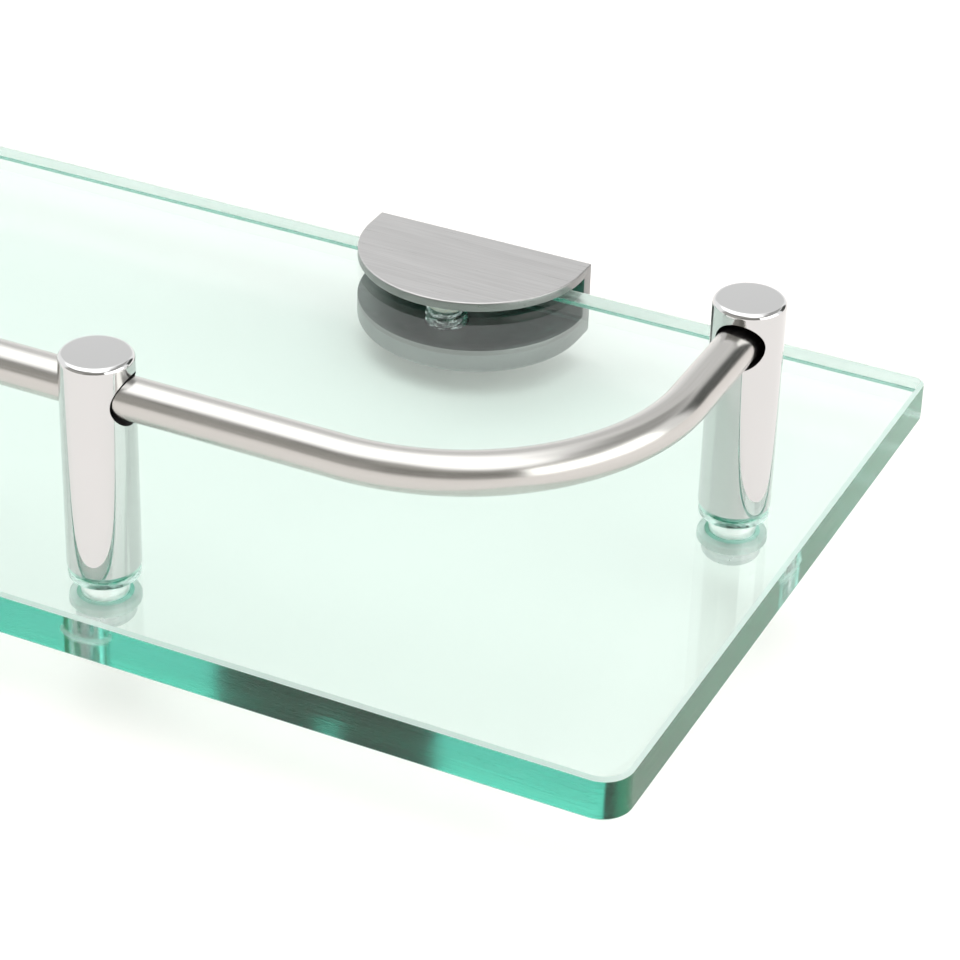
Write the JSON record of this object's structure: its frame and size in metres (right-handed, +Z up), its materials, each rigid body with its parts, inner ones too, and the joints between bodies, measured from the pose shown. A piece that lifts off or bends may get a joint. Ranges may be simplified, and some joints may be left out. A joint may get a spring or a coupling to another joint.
{
  "type": "glass wall shelf",
  "caption": "Rectangular glass wall shelf held by half-round clamps on its back edge, with a bent tube guard rail carried on short round posts.",
  "frame": {"origin": "on the wall plane, midway between the two clamps, at the height of their wall-fixing holes", "axes": "+X along the shelf to the right as seen from the room, +Y into the wall, +Z up"},
  "size_m": [0.5, 0.1415, 0.0584],
  "materials": {
    "glass": "clear tempered glass with a faint green tint and ground, polished edges",
    "rail_steel": "stainless tube, brushed along its length",
    "post_chrome": "bright polished chrome",
    "clamp_satin": "satin nickel, brushed along the wall",
    "screw_zinc": "bright zinc-plated steel",
    "clear_plastic": "clear soft plastic",
    "white_nylon": "natural white nylon"
  },
  "bodies": {
    "shelf": {"glass_shelf": "glass", "guard_rail": "rail_steel", "front_post_left": "post_chrome", "front_post_left_seat_washer": "clear_plastic", "front_post_left_under_washer": "clear_plastic", "front_post_left_screw": "screw_zinc", "front_post_right": "post_chrome", "front_post_right_seat_washer": "clear_plastic", "front_post_right_under_washer": "clear_plastic", "front_post_right_screw": "screw_zinc", "side_post_left": "post_chrome", "side_post_left_seat_washer": "clear_plastic", "side_post_left_under_washer": "clear_plastic", "side_post_left_screw": "screw_zinc", "side_post_right": "post_chrome", "side_post_right_seat_washer": "clear_plastic", "side_post_right_under_washer": "clear_plastic", "side_post_right_screw": "screw_zinc", "wall_clamp_left": "clamp_satin", "wall_clamp_right": "clamp_satin", "jaw_pad_left": "clear_plastic", "jaw_pad_right": "clear_plastic"},
    "left_tip": {"set_screw_tip_left": "white_nylon"},
    "left_screw": {"set_screw_left": "screw_zinc"},
    "right_tip": {"set_screw_tip_right": "white_nylon"},
    "right_screw": {"set_screw_right": "screw_zinc"}
  },
  "joints": [
    {"name": "left_set_screw_travel", "type": "slide", "parent": "shelf", "child": "left_tip", "axis": [0, 0, 1], "range_m": [-0.00375, 0]},
    {"name": "left_set_screw_turn", "type": "hinge", "parent": "left_tip", "child": "left_screw", "pos_m": [-0.1595, -0.016, -0.0077], "axis": [0, 0, 1], "range_deg": [-1080, 0]},
    {"name": "right_set_screw_travel", "type": "slide", "parent": "shelf", "child": "right_tip", "axis": [0, 0, 1], "range_m": [-0.00375, 0]},
    {"name": "right_set_screw_turn", "type": "hinge", "parent": "right_tip", "child": "right_screw", "pos_m": [0.1595, -0.016, -0.0077], "axis": [0, 0, 1], "range_deg": [-1080, 0]}
  ],
  "couplings": [
    {"joint": "left_set_screw_turn", "follows": "left_set_screw_travel", "rad_per_m": 5026.5},
    {"joint": "right_set_screw_turn", "follows": "right_set_screw_travel", "rad_per_m": 5026.5}
  ]
}
